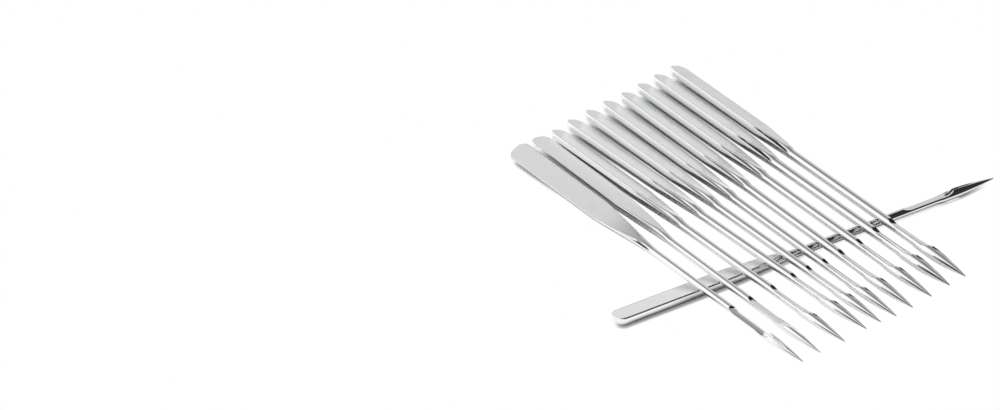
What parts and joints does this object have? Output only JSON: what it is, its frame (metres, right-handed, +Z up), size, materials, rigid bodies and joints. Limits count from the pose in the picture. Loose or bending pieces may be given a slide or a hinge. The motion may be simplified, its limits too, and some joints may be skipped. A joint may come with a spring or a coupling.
{
  "type": "sewing machine needle set",
  "caption": "Household sewing machine needles side by side, blades across a loose needle; each has a flat shank, shoulder, blade, scarf, grooves, eye and point.",
  "frame": {"origin": "middle of the set's box in plan, on the surface that the set lies on", "axes": "+X along the row from the butts to the points, +Y across the row from the first needle to the last, +Z up"},
  "size_m": [0.041, 0.0398, 0.0028],
  "materials": {
    "needle_steel": "polished plated steel"
  },
  "bodies": {
    "cross_needle": {"cross_needle": "needle_steel"},
    "needle_01": {"needle_01": "needle_steel"},
    "needle_02": {"needle_02": "needle_steel"},
    "needle_03": {"needle_03": "needle_steel"},
    "needle_04": {"needle_04": "needle_steel"},
    "needle_05": {"needle_05": "needle_steel"},
    "needle_06": {"needle_06": "needle_steel"},
    "needle_07": {"needle_07": "needle_steel"},
    "needle_08": {"needle_08": "needle_steel"},
    "needle_09": {"needle_09": "needle_steel"},
    "needle_10": {"needle_10": "needle_steel"}
  },
  "joints": [
    {"name": "needle_01_lift", "type": "slide", "parent": "cross_needle", "child": "needle_01", "axis": [0, 0, 1], "range_m": [0, 0.04]},
    {"name": "needle_02_lift", "type": "slide", "parent": "cross_needle", "child": "needle_02", "axis": [0, 0, 1], "range_m": [0, 0.04]},
    {"name": "needle_03_lift", "type": "slide", "parent": "cross_needle", "child": "needle_03", "axis": [0, 0, 1], "range_m": [0, 0.04]},
    {"name": "needle_04_lift", "type": "slide", "parent": "cross_needle", "child": "needle_04", "axis": [0, 0, 1], "range_m": [0, 0.04]},
    {"name": "needle_05_lift", "type": "slide", "parent": "cross_needle", "child": "needle_05", "axis": [0, 0, 1], "range_m": [0, 0.04]},
    {"name": "needle_06_lift", "type": "slide", "parent": "cross_needle", "child": "needle_06", "axis": [0, 0, 1], "range_m": [0, 0.04]},
    {"name": "needle_07_lift", "type": "slide", "parent": "cross_needle", "child": "needle_07", "axis": [0, 0, 1], "range_m": [0, 0.04]},
    {"name": "needle_08_lift", "type": "slide", "parent": "cross_needle", "child": "needle_08", "axis": [0, 0, 1], "range_m": [0, 0.04]},
    {"name": "needle_09_lift", "type": "slide", "parent": "cross_needle", "child": "needle_09", "axis": [0, 0, 1], "range_m": [0, 0.04]},
    {"name": "needle_10_lift", "type": "slide", "parent": "cross_needle", "child": "needle_10", "axis": [0, 0, 1], "range_m": [0, 0.04]}
  ]
}
